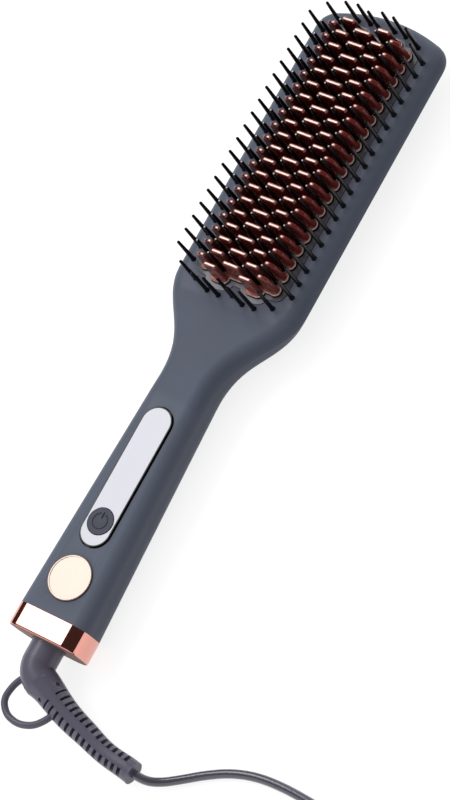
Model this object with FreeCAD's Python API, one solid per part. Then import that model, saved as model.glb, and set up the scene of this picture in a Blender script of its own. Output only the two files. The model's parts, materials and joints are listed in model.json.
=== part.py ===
import FreeCAD, Part
import math
import os

# Heated straightening brush, in millimetres. It lies on its back: X runs across, +Y along the
# brush to the head, +Z up the bristles, with the origin under the middle of the brush.

# Whole body
overall_length = 300.0
head_width = 65.0
neck_width = 26.4
grip_width = 34.6
head_face_z = 22.5
grip_face_z = 25.0
parting_z = 16.0
edge_round = 6.0
wall = 2.2
hollow_step = 1.0
cut_over = 1.0

# Plan outline
head_margin = 8.95
shoulder_rise = 2.35
shoulder_reach = 17.0
crown_radius = 80.0
corner_radius = 10.0
end_lift = 26.0
# Spare length of the brush: cap to badge, badge to window, window to ramp, the ramp, ramp to bristles
spare_shares = (0.0972, 0.0703, 0.0544, 0.6962, 0.0819)
# Places and pulls of the neck and shoulder, as shares of the ramp
neck_place_share = 0.1667
neck_reach_share = 0.5
shoulder_drop_share = 0.1667

# Back levels: height, head, neck, grip and head-end inset, each as a share of its own size
level_shares = (
    (1.0, 1.0, 1.0, 1.0, 0.0),
    (0.80, 0.945, 0.985, 0.995, 0.05),
    (0.60, 0.87, 0.93, 0.97, 0.15),
    (0.32, 0.66, 0.73, 0.88, 0.40),
    (0.12, 0.43, 0.51, 0.70, 0.70),
    (0.0, 0.22, 0.31, 0.43, 1.0),
)
corner_share = 0.55

# Bristle field
pin_pitch = 6.35
field_margin = 6.4
row_inset = 7.0
edge_pin_height = 16.9
inner_pin_height = 16.7
pin_root_radius = 1.0
pin_tip_radius = 0.68
pin_foot_radius = 1.25
pin_foot_height = 0.8
pin_hole_clearance = 0.1
strip_width = 1.4
strip_height = 1.7
# End rows: place across as a share of the side rows', and distance beyond the opening in pitches
top_row_shares = ((0.0, 0.1985), (0.243, 0.4335), (0.475, 0.3545), (0.78, -0.1015))
lower_row_shares = ((0.0, 0.3085), (0.243, 0.6185), (0.475, 0.5785), (0.78, 0.1185))

# Heater plate and fins
# Columns of fins and pins: place across and width of the fins, as shares of half the plate
column_shares = (-0.8783, -0.4709, 0.0, 0.4709, 0.8783)
fin_width_shares = (0.3545, 0.3651, 0.4762, 0.3651, 0.3545)
fin_thickness = 2.0
fin_edge_round = 0.85
fin_corner = 1.2
fin_outer_corner = 3.6
fin_spread = 0.9
fin_outer_lean = 1.4
fin_height = 11.1
fin_root = 0.6
plate_rise = 2.0
plate_thickness = 5.7
plate_edge_round = 0.6
plate_end_margin = 2.4
side_lobe_radius = 2.6
end_lobe_radius = 3.0
end_lobe_half_length = 4.7
end_lobe_inset = 0.2
flange_thickness = 1.0
flange_margin = 0.4
socket_depth = 2.6
socket_clearance = 0.05

# Insulating bezel
opening_inset = 2.7
bezel_width = 3.9
opening_half_length = 63.7
opening_shoulder = 1.95
opening_corner = 4.6
bezel_top_width = 1.2
bezel_lower_width = 2.6
bezel_proud = 0.3
bezel_gap = 0.15
bezel_plate_gap = 0.3
bezel_lip = 1.0
bezel_lip_thickness = 1.5
bezel_lip_half_length = 52.0

# Heater stack under the plate
element_length = 104.0
element_width = 9.0
element_thickness = 1.3
mica_thickness = 0.5
mica_margin = 0.6
tray_thickness = 1.0
tray_margin = 1.3
tray_end_margin = 4.0
tray_ear_outset = 2.3
tray_ear_radius = 1.5
tray_ear_reach_y = 33.0
boss_radius = 1.35
screw_radius = 0.8
screw_head_radius = 1.3
screw_head_height = 0.8
screw_fit = 0.05
screw_grip = 3.0
sensor_width = 3.0
sensor_length = 5.0
sensor_shift = -17.35
fuse_radius = 2.0
fuse_length = 11.0
fuse_shift = 17.65
fuse_x = 6.0

# Window, button and switch
window_length = 64.5
window_radius = 7.1
window_gap = 0.55
window_proud = 0.9
window_lip = 1.5
window_lip_thickness = 1.2
button_shift = 4.05
button_radius = 5.8
button_gap = 0.3
button_proud = 0.3
button_flange_radius = 6.6
button_flange_thickness = 1.0
button_flange_gap = 0.2
button_travel = 0.8
symbol_depth = 0.25
symbol_radius = 3.4
symbol_width = 0.65
symbol_bar_length = 2.9
symbol_gap_width = 2.6
plunger_radius = 1.6
plunger_gap = 0.3
plunger_sink = 1.0
switch_size = 6.2
switch_height = 3.6
switch_well_depth = 2.6
dome_radius = 1.7
dome_thickness = 0.25

# Control board and display
board_top_z = 14.6
board_thickness = 1.6
board_half_width = 8.5
board_overhang = 2.75
board_reach_share = 0.12
display_half_width = 5.8
display_length = 30.0
display_shift = 10.0
display_gap = 0.2
board_post_radius = 2.4
board_post_inset = 4.0
capacitor_radius = 4.0
capacitor_length = 13.0
triac_width = 9.0
triac_length = 12.0
triac_height = 4.2
relay_width = 8.0
relay_length = 14.0
relay_height = 7.0

# Badge
badge_radius = 10.0
badge_thickness = 1.4
badge_proud = 0.6
badge_gap = 0.1
badge_rim = 0.9
badge_dish = 0.25

# End cap and cord swivel
cap_length = 10.2
cap_proud = 0.15
cap_wall = 2.75
cap_end_wall = 2.5
cap_edge_round = 0.9
spigot_length = 5.0
spigot_wall = 1.4
spigot_gap = 0.3
swivel_z = 13.6
neck_radius = 7.3
swivel_gap = 0.3
hub_flange_radius = 8.2
hub_flange_thickness = 2.4
hub_flange_gap = 0.2
hub_stem_radius = 4.2
hub_stem_length = 2.6
hub_bore_radius = 1.9
ring_thickness = 0.8
ring_width = 1.4
inner_ring_radius = 3.2
outer_ring_radius = 6.2
contact_gap = 0.15
contact_radius = 0.6
contact_length = 3.0
block_half_width = 4.0
block_thickness = 5.0
block_low_z = 5.2
block_top_z = 20.6

# Housing screws
neck_screw_x = 9.0
neck_screw_share = 0.7083
grip_screw_x = 6.5
grip_screw_shift = 2.1
post_radius = 2.7
post_foot_z = 6.5
housing_screw_radius = 1.1
housing_screw_length = 12.0
housing_head_radius = 2.1
housing_head_height = 1.7
housing_head_sink = 1.2
head_clearance = 0.25

# Wires inside
lead_radius = 0.6
lead_gap = 0.2
lead_tail = 40.0
# Sloping part of the wires, as a share of the way from the heater to the board
lead_slope_share = 0.35

# Strain relief boot: out of the cap, round a bend, then a sleeve of three runs that curves to the floor
elbow_reach = 12.7
bend_radius = 8.2
sleeve_runs = (26.14, 20.02, 15.61)
sleeve_yaw_degrees = (-21.8, -15.84, -8.07)
sleeve_drop_degrees = (7.94, 7.4, 5.66)
sleeve_middle_radii = (6.25, 5.2, 4.8)
sleeve_end_radii = (5.7, 4.8, 4.9)
core_radius = 2.6
rib_count = 14
rib_first_share = 0.18
rib_last_share = 0.92
slot_thin = 0.9
slot_wide = 1.7
spine_width = 3.6
spine_turn_degrees = 4.0
rail_width = 3.2
dot_radius = 0.95
dot_depth = 1.4
dot_reach = 2.9
loop_radius = 1.5
loop_width = 20.0
loop_reach = 22.7
loop_drop = 2.5
# Hang loop, from the elbow round to the sleeve: across, out and down
loop_shares = (
    (-0.075, 0.027, 0.36),
    (-0.31, 0.322, 0.52),
    (-0.38, 0.657, 0.76),
    (-0.16, 0.877, 0.96),
    (0.19, 0.937, 1.0),
    (0.525, 0.837, 1.04),
    (0.75, 0.617, 1.0),
    (0.875, 0.322, 0.96),
)

# Mains cord: route of the free lead after the boot, then the put-away coil, its tie, the tail and the plug
cord_radius = 1.9
exit_run = 5.0
lead_route = (
    (69.6, -178.2, 3.5),
    (76.6, -173.3, 2.4),
    (84.6, -167.5, 1.95),
    (94.5, -162.0, 1.95),
    (105.8, -158.7, 1.95),
    (118.6, -157.9, 1.95),
    (131.5, -158.5, 1.95),
    (141.5, -159.5, 2.2),
    (153.4, -160.4, 3.05),
    (165.2, -160.4, 3.05),
)
coil_centre_x = 169.0
coil_outer_radius = 29.6
coil_pitch = 4.95
coil_layers = 4
coil_layer_quarters = 11
tie_thickness = 0.8
tie_gap = 0.35
tie_width = 10.0
tail_route = (
    (172.8, -160.4, 17.9),
    (185.0, -160.4, 17.6),
    (199.0, -162.6, 14.2),
    (210.0, -169.6, 10.8),
    (215.4, -180.0, 9.0),
    (216.6, -190.0, 9.0),
)
plug_width = 24.0
plug_height = 18.0
plug_length = 26.0
plug_neck_length = 12.0
plug_neck_radius = 4.2
plug_round = 4.0
blade_width = 6.35
blade_thickness = 1.5
blade_length = 16.5
blade_spacing = 12.7
blade_root = 3.0

# Places worked out from the sizes above, along the brush
head_end_y = overall_length / 2
cap_end_y = -overall_length / 2
grip_end_y = cap_end_y + cap_length
opening_high_y = head_end_y - head_margin
opening_low_y = opening_high_y - 2 * opening_half_length
field_centre_y = (opening_high_y + opening_low_y) / 2
side_pin_count = 1 + int(2 * (opening_half_length - field_margin) / pin_pitch)
first_pin_y = field_centre_y + (side_pin_count - 1) * pin_pitch / 2
last_pin_y = first_pin_y - (side_pin_count - 1) * pin_pitch
spare_length = opening_low_y - grip_end_y - 2 * badge_radius - window_length
badge_low_y = grip_end_y + spare_shares[0] * spare_length
badge_y = badge_low_y + badge_radius
window_low_y = badge_y + badge_radius + spare_shares[1] * spare_length
window_high_y = window_low_y + window_length
window_centre_y = (window_low_y + window_high_y) / 2
button_y = window_low_y + window_radius + button_shift
ramp_low_y = window_high_y + spare_shares[2] * spare_length
ramp_length = spare_shares[3] * spare_length
ramp_high_y = ramp_low_y + ramp_length
neck_y = ramp_low_y + neck_place_share * ramp_length
neck_reach = neck_reach_share * ramp_length
shoulder_y = opening_low_y + shoulder_rise
shoulder_drop = shoulder_drop_share * ramp_length
board_low_y = window_low_y - board_overhang
board_high_y = window_high_y + board_reach_share * ramp_length
display_centre_y = window_centre_y + display_shift
neck_screw_y = ramp_low_y + neck_screw_share * ramp_length
grip_screw_y = badge_y + grip_screw_shift
sensor_y = field_centre_y + sensor_shift
fuse_y = field_centre_y + fuse_shift

# Places across
pin_row_x = head_width / 2 - row_inset
opening_half_width = pin_row_x - opening_inset
plate_half_width = opening_half_width - bezel_width
column_places = [share * plate_half_width for share in column_shares]
fin_widths = [share * plate_half_width for share in fin_width_shares]
inner_column_x = column_places[3]
element_x = inner_column_x
mica_half_width = plate_half_width + mica_margin
tray_half_width = opening_half_width - tray_margin
tray_ear_x = pin_row_x + tray_ear_outset
column_names = ("left_outer", "left", "centre", "right", "right_outer")

# Heights
face_under_z = head_face_z - wall
grip_under_z = grip_face_z - wall
plate_top_z = head_face_z + plate_rise
plate_low_z = plate_top_z - plate_thickness
flange_low_z = plate_low_z - flange_thickness
element_low_z = flange_low_z - element_thickness
mica_low_z = element_low_z - mica_thickness
tray_low_z = mica_low_z - tray_thickness
board_low_z = board_top_z - board_thickness
axis_y = FreeCAD.Vector(0, 1, 0)
axis_z = FreeCAD.Vector(0, 0, 1)


def vec(x, y, z):
    return FreeCAD.Vector(x, y, z)


def line(a, b):
    return Part.LineSegment(a, b).toShape()


def arc_along(start, tangent, end):
    chord = end - start
    across = tangent - chord * (tangent.dot(chord) / chord.dot(chord))
    if across.Length * chord.Length < chord.Length * 1e-9:
        return line(start, end)
    angle = tangent.getAngle(chord)
    across.normalize()
    middle = start + chord / 2 + across * (chord.Length / 2 * math.tan(angle / 2))
    return Part.Arc(start, middle, end).toShape()


def bezier(points):
    curve = Part.BezierCurve()
    curve.setPoles(points)
    return curve.toShape()


def box(x0, x1, y0, y1, z0, z1):
    return Part.makeBox(x1 - x0, y1 - y0, z1 - z0, vec(x0, y0, z0))


def rod(x, y, z0, z1, radius):
    return Part.makeCylinder(radius, z1 - z0, vec(x, y, z0))


def rod_along_y(y0, y1, radius, x=0.0, z=swivel_z):
    return Part.makeCylinder(radius, y1 - y0, vec(x, y0, z), axis_y)


def stadium(centre_y, length, radius, z0, z1):
    straight = length / 2 - radius
    low = rod(0, centre_y - straight, z0, z1, radius)
    high = rod(0, centre_y + straight, z0, z1, radius)
    middle = box(-radius, radius, centre_y - straight, centre_y + straight, z0, z1)
    return middle.multiFuse([low, high]).removeSplitter()


def link(a, b, width, z0, z1):
    run = vec(b[0] - a[0], b[1] - a[1], 0)
    side = vec(-run.y, run.x, 0)
    side.normalize()
    side.multiply(width / 2)
    start = vec(a[0], a[1], z0)
    end = start + run
    corners = [start + side, start - side, end - side, end + side, start + side]
    bar = Part.Face(Part.makePolygon(corners)).extrude(vec(0, 0, z1 - z0))
    return [bar, rod(a[0], a[1], z0, z1, width / 2), rod(b[0], b[1], z0, z1, width / 2)]


def mirrored(shape):
    return shape.mirror(vec(0, 0, 0), vec(1, 0, 0))


# Plan outline of the body at one height, with its own half widths and end
def body_outline(z, head, neck, grip, end_y, corner, tail_y, high_y=shoulder_y):
    slope = (grip - neck) / (neck_y - grip_end_y)
    tail = vec(neck + slope * (neck_y - tail_y), tail_y, z)
    waist = vec(neck, neck_y, z)
    waist_pull = vec(neck - slope * neck_reach, neck_y + neck_reach, z)
    shoulder = vec(head, high_y, z)
    shoulder_pull = vec(head, high_y - shoulder_reach, z)
    crown_y = end_y - crown_radius
    corner_y = crown_y + math.sqrt((crown_radius - corner) ** 2 - (head - corner) ** 2)
    side_top = vec(head, corner_y, z)
    toward = vec(head - corner, corner_y - crown_y, 0)
    toward.normalize()
    crown_start = vec(0, crown_y, z) + toward * crown_radius

    def flip(p):
        return vec(-p.x, p.y, p.z)

    edges = [
        line(tail, waist),
        bezier([waist, waist_pull, shoulder_pull, shoulder]),
        line(shoulder, side_top),
        arc_along(side_top, axis_y, crown_start),
        Part.Arc(crown_start, vec(0, end_y, z), flip(crown_start)).toShape(),
        arc_along(flip(side_top), axis_y, flip(crown_start)),
        line(flip(side_top), flip(shoulder)),
        bezier([flip(shoulder), flip(shoulder_pull), flip(waist_pull), flip(waist)]),
        line(flip(waist), flip(tail)),
        line(flip(tail), tail),
    ]
    return Part.Wire(Part.__sortEdges__(edges))


def full_outline(z, inset, tail_y):
    return body_outline(z, head_width / 2 - inset, neck_width / 2 - inset, grip_width / 2 - inset,
                        head_end_y - inset, corner_radius - inset, tail_y)


# Side profile under the flat face: head face, ramp at the neck, grip face
def face_profile(drop, low_z, low_y, high_y):
    grip_z = grip_face_z - drop
    head_z = head_face_z - drop
    ramp_low = vec(0, ramp_low_y, grip_z)
    ramp_high = vec(0, ramp_high_y, head_z)
    middle = (ramp_low + ramp_high) / 2
    edges = [
        line(vec(0, low_y, low_z), vec(0, low_y, grip_z)),
        line(vec(0, low_y, grip_z), ramp_low),
        arc_along(ramp_low, axis_y, middle),
        arc_along(ramp_high, -axis_y, middle),
        line(ramp_high, vec(0, high_y, head_z)),
        line(vec(0, high_y, head_z), vec(0, high_y, low_z)),
        line(vec(0, high_y, low_z), vec(0, low_y, low_z)),
    ]
    half = head_width / 2 + cut_over
    face = Part.Face(Part.Wire(Part.__sortEdges__(edges)))
    face.translate(vec(-half, 0, 0))
    return face.extrude(vec(2 * half, 0, 0))


def crosses_body(edge):
    if not isinstance(edge.Curve, Part.Line):
        return False
    return abs(edge.Curve.Direction.x) > abs(edge.Curve.Direction.y)


def front_outer():
    plan = Part.Face(full_outline(parting_z, 0.0, grip_end_y))
    prism = plan.extrude(vec(0, 0, grip_face_z - parting_z + cut_over))
    body = prism.common(face_profile(0.0, parting_z, grip_end_y, head_end_y + cut_over))
    rims = []
    for edge in body.Edges:
        middle = edge.valueAt((edge.FirstParameter + edge.LastParameter) / 2)
        ends_high = min(v.Z for v in edge.Vertexes) > head_face_z - edge_round
        if ends_high and middle.z > head_face_z - edge_round and not crosses_body(edge):
            rims.append(edge)
    return body.makeFillet(edge_round, rims)


# The hollow steps in under the rounded edge, to keep the wall there
def front_hollow():
    low_y = grip_end_y - cut_over
    low_z = parting_z - cut_over
    steps = []
    for inset, drop in ((wall, wall + hollow_step), (wall + hollow_step, wall)):
        plan = Part.Face(full_outline(low_z, inset, low_y))
        prism = plan.extrude(vec(0, 0, grip_face_z - parting_z + cut_over))
        steps.append(prism.common(face_profile(drop, low_z, low_y, head_end_y + cut_over)))
    return steps[0].fuse(steps[1])


def back_levels(inset, tail_y):
    wires = []
    for height, head, neck, grip, end in level_shares:
        z = inset + height * (parting_z - inset)
        corner = corner_radius * (corner_share + (1 - corner_share) * height) - inset / 2
        wires.append(body_outline(z, head * head_width / 2 - inset, neck * neck_width / 2 - inset,
                                  grip * grip_width / 2 - inset, head_end_y - end * end_lift - inset,
                                  corner, tail_y, shoulder_y - (1 - height) * shoulder_drop))
    return Part.makeLoft(wires, True, False)


def opening_outline(grow, z0, z1):
    half_x = opening_half_width + grow
    half_y = opening_half_length - opening_shoulder + grow
    radius = opening_corner + grow
    low_y = field_centre_y - half_y
    high_y = field_centre_y + half_y
    long_bar = box(-half_x, half_x, low_y + radius, high_y - radius, z0, z1)
    wide_bar = box(radius - half_x, half_x - radius, low_y, high_y, z0, z1)
    corners = [rod(x * (half_x - radius), field_centre_y + y * (half_y - radius), z0, z1, radius)
               for x in (-1, 1) for y in (-1, 1)]
    lobes = end_lobes(bezel_top_width + grow, bezel_lower_width + grow, z0, z1)
    return long_bar.multiFuse([wide_bar] + corners + lobes).removeSplitter()


# Wide lobes under the end fins of the two inner columns, grown by a margin at the top and lower end
def end_lobes(top_grow, lower_grow, z0, z1):
    fins = column_fin_places(1)
    ends = ((fins[0] - end_lobe_inset, top_grow), (fins[-1] + end_lobe_inset, lower_grow))
    lobes = []
    for y, grow in ends:
        radius = end_lobe_radius + grow
        reach = end_lobe_half_length - end_lobe_radius
        for x in (-inner_column_x, inner_column_x):
            bar = box(x - reach, x + reach, y - radius, y + radius, z0, z1)
            round_ends = [rod(x - reach, y, z0, z1, radius), rod(x + reach, y, z0, z1, radius)]
            lobes.append(bar.multiFuse(round_ends))
    return lobes


def side_pin_places(x):
    return [(x, first_pin_y - i * pin_pitch) for i in range(side_pin_count)]


def end_pin_places(shares, start_y, sense):
    right = [(x * pin_row_x, start_y + sense * beyond * pin_pitch) for x, beyond in shares]
    left = [(-x, y) for x, y in right[1:]]
    return left[::-1] + right


def pin_rows():
    return {
        "left_edge_pins": side_pin_places(-pin_row_x),
        "right_edge_pins": side_pin_places(pin_row_x),
        "top_edge_pins": end_pin_places(top_row_shares, opening_high_y, 1),
        "lower_edge_pins": end_pin_places(lower_row_shares, opening_low_y, -1),
    }


# One tapered pin with a flared foot at foot_z and a stem below it
def pin(x, y, stem_z, foot_z, height):
    top = foot_z + height
    shoulder = top - pin_tip_radius
    round_point = pin_tip_radius * math.sqrt(2) / 2
    outline = [
        vec(0, 0, stem_z),
        vec(pin_root_radius, 0, stem_z),
        vec(pin_root_radius, 0, foot_z),
        vec(pin_foot_radius, 0, foot_z),
        vec(pin_root_radius, 0, foot_z + pin_foot_height),
        vec(pin_tip_radius, 0, shoulder),
    ]
    edges = [line(a, b) for a, b in zip(outline, outline[1:])]
    edges.append(Part.Arc(outline[-1], vec(round_point, 0, shoulder + round_point), vec(0, 0, top)).toShape())
    edges.append(line(vec(0, 0, top), outline[0]))
    solid = Part.Face(Part.Wire(edges)).revolve(vec(0, 0, 0), axis_z, 360)
    solid.translate(vec(x, y, 0))
    return solid


def edge_pin_strip(places):
    low_z = face_under_z - strip_height
    pieces = []
    for a, b in zip(places, places[1:]):
        if abs(a[0]) < abs(pin_row_x) or a == places[0]:
            far = b if abs(a[0]) < abs(pin_row_x) else places[-1]
            pieces += link(a, far, strip_width, low_z, face_under_z)
    pieces += [pin(x, y, low_z, head_face_z, edge_pin_height) for x, y in places]
    return pieces[0].multiFuse(pieces[1:]).removeSplitter()


def column_pin_places(column):
    x = column_places[column]
    if column % 2 == 0:
        return [(x, first_pin_y - (i + 0.5) * pin_pitch) for i in range(side_pin_count - 1)]
    return [(x, first_pin_y - i * pin_pitch) for i in range(side_pin_count)]


def column_fin_places(column):
    if column % 2 == 0:
        return [first_pin_y - i * pin_pitch for i in range(side_pin_count)]
    return [first_pin_y - (i - 0.5) * pin_pitch for i in range(side_pin_count + 1)]


def inner_pins(column):
    stem_z = plate_top_z - socket_depth
    pins = [pin(x, y, stem_z, plate_top_z, inner_pin_height) for x, y in column_pin_places(column)]
    return Part.makeCompound(pins)


# Foot, crest end and corner round of one side of a fin: outer sides lean in and have a larger round
def fin_side(column, outer):
    half = fin_widths[column] / 2
    if outer:
        return half, half - fin_outer_lean, fin_outer_corner
    return half + fin_spread, half, fin_corner


# Blade fin of a column, wider at its foot, with rounded edges
def fin(column):
    low = plate_top_z - fin_root
    top = plate_top_z + fin_height
    left_foot, left, left_round = fin_side(column, column == 0)
    right_foot, right, right_round = fin_side(column, column == len(column_places) - 1)
    bend = 1 - math.sqrt(2) / 2
    corners = [vec(-left_foot, 0, low), vec(right_foot, 0, low), vec(right, 0, top - right_round),
               vec(right - right_round, 0, top), vec(left_round - left, 0, top),
               vec(-left, 0, top - left_round)]
    right_middle = vec(right - right_round * bend, 0, top - right_round * bend)
    left_middle = vec(left_round * bend - left, 0, top - left_round * bend)
    edges = [
        line(corners[0], corners[1]),
        line(corners[1], corners[2]),
        Part.Arc(corners[2], right_middle, corners[3]).toShape(),
        line(corners[3], corners[4]),
        Part.Arc(corners[4], left_middle, corners[5]).toShape(),
        line(corners[5], corners[0]),
    ]
    face = Part.Face(Part.Wire(edges))
    blade = face.extrude(vec(0, fin_thickness, 0))
    face_edges = [e for e in blade.Edges if e.BoundBox.YLength < fin_thickness / 2]
    upper = [e for e in face_edges if e.BoundBox.ZMax > low + fin_root]
    return blade.makeFillet(fin_edge_round, upper)


# Scalloped outline of the plate, grown for the bezel that fits round it
def plate_block(grow, z0, z1):
    high_y = first_pin_y + plate_end_margin + grow
    low_y = last_pin_y - plate_end_margin - grow
    half = plate_half_width - side_lobe_radius / 2 + grow
    block = box(-half, half, low_y, high_y, z0, z1)
    lobe_x = plate_half_width - side_lobe_radius / 2
    lobes = []
    for y in column_fin_places(0):
        lobes.append(rod(lobe_x, y, z0, z1, side_lobe_radius + grow))
        lobes.append(rod(-lobe_x, y, z0, z1, side_lobe_radius + grow))
    return block.multiFuse(lobes + end_lobes(grow, grow, z0, z1)).removeSplitter()


def flange_block(margin, z0, z1):
    half_x = opening_half_width - margin
    half_y = opening_half_length - margin
    return box(-half_x, half_x, field_centre_y - half_y, field_centre_y + half_y, z0, z1)


def heater_plate():
    block = plate_block(0.0, plate_low_z, plate_top_z)
    rim = [e for e in block.Edges if e.BoundBox.ZMin > plate_top_z - plate_edge_round]
    block = block.makeFillet(plate_edge_round, rim)
    flange = flange_block(flange_margin, flange_low_z, plate_low_z).common(
        opening_outline(-flange_margin, flange_low_z, plate_low_z))
    fins = []
    for column, x in enumerate(column_places):
        blade = fin(column)
        for y in column_fin_places(column):
            fins.append(blade.translated(vec(x, y - fin_thickness / 2, 0)))
    plate = block.multiFuse([flange] + fins)
    socket_radius = pin_root_radius + socket_clearance
    socket_z = plate_top_z - socket_depth - socket_clearance
    sockets = [rod(x, y, socket_z, plate_top_z + cut_over, socket_radius)
               for c in range(len(column_places)) for x, y in column_pin_places(c)]
    return plate.cut(sockets)


def plate_bezel():
    top = head_face_z + bezel_proud
    ring = opening_outline(-bezel_gap, plate_low_z, top)
    lip_x = opening_half_width + bezel_lip
    lip = box(-lip_x, lip_x, field_centre_y - bezel_lip_half_length, field_centre_y + bezel_lip_half_length,
              face_under_z - bezel_lip_thickness, face_under_z)
    ring = ring.fuse(lip)
    return ring.cut(plate_block(bezel_plate_gap, plate_low_z - cut_over, top + cut_over)).removeSplitter()


def heating_elements():
    half_y = element_length / 2
    strips = []
    for x in (-element_x, element_x):
        strips.append(box(x - element_width / 2, x + element_width / 2, field_centre_y - half_y,
                          field_centre_y + half_y, element_low_z, flange_low_z))
    return Part.makeCompound(strips)


def sheet_length():
    return 2 * (opening_half_length - tray_end_margin)


def ear_places():
    return [(sx * tray_ear_x, field_centre_y + sy * tray_ear_reach_y) for sx in (-1, 1) for sy in (-1, 1)]


def mica_sheet():
    half_y = sheet_length() / 2
    return box(-mica_half_width, mica_half_width, field_centre_y - half_y, field_centre_y + half_y,
               mica_low_z, element_low_z)


def heater_tray():
    half_y = sheet_length() / 2
    sheet = box(-tray_half_width, tray_half_width, field_centre_y - half_y, field_centre_y + half_y,
                tray_low_z, mica_low_z)
    ears = []
    for x, y in ear_places():
        ears += link((0, y), (x, y), 2 * tray_ear_radius, tray_low_z, mica_low_z)
    tray = sheet.multiFuse(ears).removeSplitter()
    holes = [rod(x, y, tray_low_z - cut_over, mica_low_z + cut_over, screw_radius + screw_fit)
             for x, y in ear_places()]
    return tray.cut(holes)


def heater_screws():
    screws = []
    for x, y in ear_places():
        head = rod(x, y, tray_low_z - screw_head_height, tray_low_z, screw_head_radius)
        shank = rod(x, y, tray_low_z, mica_low_z + screw_grip, screw_radius)
        screws.append(head.fuse(shank).removeSplitter())
    return Part.makeCompound(screws)


def temperature_sensor():
    return box(-sensor_width / 2, sensor_width / 2,
               sensor_y - sensor_length / 2, sensor_y + sensor_length / 2, element_low_z, flange_low_z)


def thermal_fuse():
    z = tray_low_z - fuse_radius
    body = Part.makeCylinder(fuse_radius, fuse_length, vec(fuse_x, fuse_y - fuse_length / 2, z), axis_y)
    ends = Part.makeCylinder(lead_radius, 2 * fuse_length, vec(fuse_x, fuse_y - fuse_length, z), axis_y)
    return body.fuse(ends).removeSplitter()


def screw_places():
    near = [(sx * neck_screw_x, neck_screw_y) for sx in (-1, 1)]
    far = [(sx * grip_screw_x, grip_screw_y) for sx in (-1, 1)]
    return near + far


def face_under_at(y):
    return face_under_z if y > ramp_low_y else grip_under_z


def front_housing():
    shell = front_outer().cut(front_hollow())
    additions = []
    for x, y in screw_places():
        additions.append(rod(x, y, post_foot_z, face_under_at(y) + wall / 2, post_radius))
    for x, y in ear_places():
        additions.append(rod(x, y, mica_low_z, face_under_z + wall / 2, boss_radius))
    shell = shell.multiFuse(additions)
    cuts = [opening_outline(0.0, face_under_z - cut_over, head_face_z + cut_over)]
    hole = pin_root_radius + pin_hole_clearance
    for places in pin_rows().values():
        cuts += [rod(x, y, face_under_z - cut_over, head_face_z + cut_over, hole) for x, y in places]
    cuts.append(stadium(window_centre_y, window_length + 2 * window_gap, window_radius + window_gap,
                        grip_under_z - cut_over, grip_face_z + cut_over))
    cuts.append(rod(0, badge_y, grip_face_z + badge_proud - badge_thickness, grip_face_z + cut_over,
                    badge_radius + badge_gap))
    for x, y in screw_places():
        cuts.append(rod(x, y, post_foot_z - cut_over, post_foot_z + housing_screw_length,
                        housing_screw_radius + screw_fit))
    for x, y in ear_places():
        cuts.append(rod(x, y, mica_low_z - cut_over, mica_low_z + screw_grip, screw_radius + screw_fit))
    return shell.cut(cuts)


def board_post_places():
    return [(0, board_low_y + board_post_inset), (0, board_high_y - board_post_inset)]


def rear_housing():
    outer = back_levels(0.0, grip_end_y)
    hollow = back_levels(wall, grip_end_y - cut_over)
    shell = outer.cut(hollow)
    posts = [rod(x, y, wall / 2, post_foot_z, post_radius) for x, y in screw_places()]
    posts += [rod(x, y, wall / 2, board_low_z, board_post_radius) for x, y in board_post_places()]
    shell = shell.multiFuse([p.common(outer) for p in posts])
    head_top = housing_head_sink + housing_head_height
    cuts = []
    for x, y in screw_places():
        cuts.append(rod(x, y, -cut_over, head_top, housing_head_radius + head_clearance))
        cuts.append(rod(x, y, 0, post_foot_z + cut_over, housing_screw_radius + head_clearance))
    for x, y in board_post_places():
        cuts.append(rod(x, y, board_low_z - screw_grip, board_low_z + cut_over, screw_radius + screw_fit))
    return shell.cut(cuts)


def housing_screws():
    head_low = housing_head_sink
    head_top = head_low + housing_head_height
    screws = []
    for x, y in screw_places():
        head = rod(x, y, head_low, head_top, housing_head_radius)
        shank = rod(x, y, head_top, head_low + housing_screw_length, housing_screw_radius)
        screws.append(head.fuse(shank).removeSplitter())
    return Part.makeCompound(screws)


def display_window():
    top = grip_face_z + window_proud
    lens = stadium(window_centre_y, window_length, window_radius, grip_under_z, top)
    lip = stadium(window_centre_y, window_length + 2 * window_lip, window_radius + window_lip,
                  grip_under_z - window_lip_thickness, grip_under_z)
    hole = rod(0, button_y, grip_under_z - window_lip_thickness - cut_over, top + cut_over,
               button_radius + button_gap)
    return lens.fuse(lip).removeSplitter().cut(hole)


def button_seat_z():
    return grip_under_z - window_lip_thickness - button_flange_gap - button_flange_thickness


# Button cap with a ring and bar engraved in its top
def power_button():
    top = grip_face_z + window_proud + button_proud
    low = button_seat_z()
    cap = rod(0, button_y, low, top, button_radius)
    flange = rod(0, button_y, low, low + button_flange_thickness, button_flange_radius)
    ring = rod(0, button_y, top - symbol_depth, top + cut_over, symbol_radius + symbol_width / 2)
    ring = ring.cut(rod(0, button_y, top - symbol_depth, top + cut_over, symbol_radius - symbol_width / 2))
    gap = box(-symbol_gap_width / 2, symbol_gap_width / 2, button_y, button_y + button_radius,
              top - symbol_depth, top + cut_over)
    bar_low = button_y + symbol_radius / 3
    bar = box(-symbol_width / 2, symbol_width / 2, bar_low, bar_low + symbol_bar_length,
              top - symbol_depth, top + cut_over)
    return cap.fuse(flange).removeSplitter().cut([ring.cut(gap), bar])


def switch_top_z():
    return board_top_z + switch_height


def switch_plunger():
    return rod(0, button_y, switch_top_z() - plunger_sink, button_seat_z(), plunger_radius)


def tact_switch():
    half = switch_size / 2
    body = box(-half, half, button_y - half, button_y + half, board_top_z, switch_top_z())
    well = rod(0, button_y, switch_top_z() - switch_well_depth, switch_top_z() + cut_over,
               plunger_radius + plunger_gap)
    return body.cut(well)


def snap_dome():
    low = switch_top_z() - switch_well_depth
    return rod(0, button_y, low, low + dome_thickness, dome_radius)


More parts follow.
